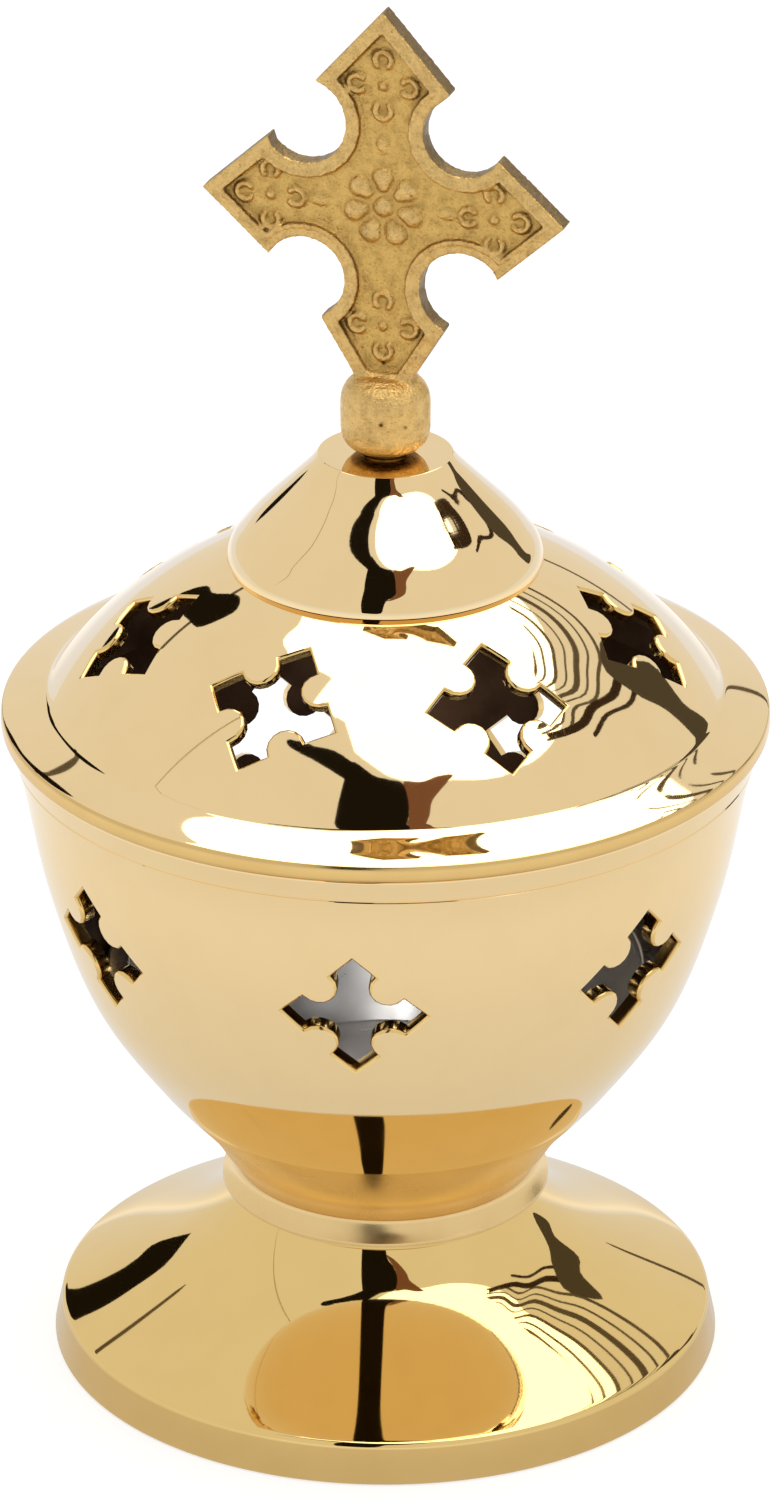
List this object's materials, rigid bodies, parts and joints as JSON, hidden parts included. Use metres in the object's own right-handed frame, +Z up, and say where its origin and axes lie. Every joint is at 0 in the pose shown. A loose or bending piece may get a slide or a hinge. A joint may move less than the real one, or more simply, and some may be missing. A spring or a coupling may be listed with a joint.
{
  "type": "standing incense censer",
  "caption": "Small brass table censer: round pedestal foot, pierced bowl with a loose charcoal cup, and a pierced lift-off lid with a cone and a cast cross.",
  "frame": {"origin": "on the surface it stands on, at the centre of the foot", "axes": "+Z up along the turned axis, -Y towards the front as pictured, +X to the right"},
  "size_m": [0.076, 0.076, 0.1422],
  "materials": {
    "polished_brass": "mirror-polished pale brass, spun",
    "turned_brass": "buffed pale brass with faint turning lines",
    "cast_brass": "rough sand-cast brass, dull ochre, dark in the recesses",
    "screw_brass": "plain turned brass",
    "washer_steel": "zinc-plated steel",
    "cup_steel": "spun steel, dull, smoke-darkened"
  },
  "bodies": {
    "base": {"foot": "polished_brass", "bowl": "turned_brass", "base_screw": "screw_brass", "base_washer": "washer_steel", "base_nut": "screw_brass"},
    "cup": {"charcoal_cup": "cup_steel"},
    "lid": {"lid": "polished_brass", "lid_cone": "polished_brass", "finial_cross": "cast_brass", "finial_screw": "screw_brass", "finial_washer": "washer_steel"}
  },
  "joints": [
    {"name": "lid_lift", "type": "slide", "parent": "base", "child": "lid", "axis": [0, 0, 1], "range_m": [0, 0.12]},
    {"name": "cup_lift", "type": "slide", "parent": "base", "child": "cup", "axis": [0, 0, 1], "range_m": [0, 0.048]}
  ],
  "couplings": [
    {"joint": "cup_lift", "follows": "lid_lift", "ratio": 0.4}
  ]
}
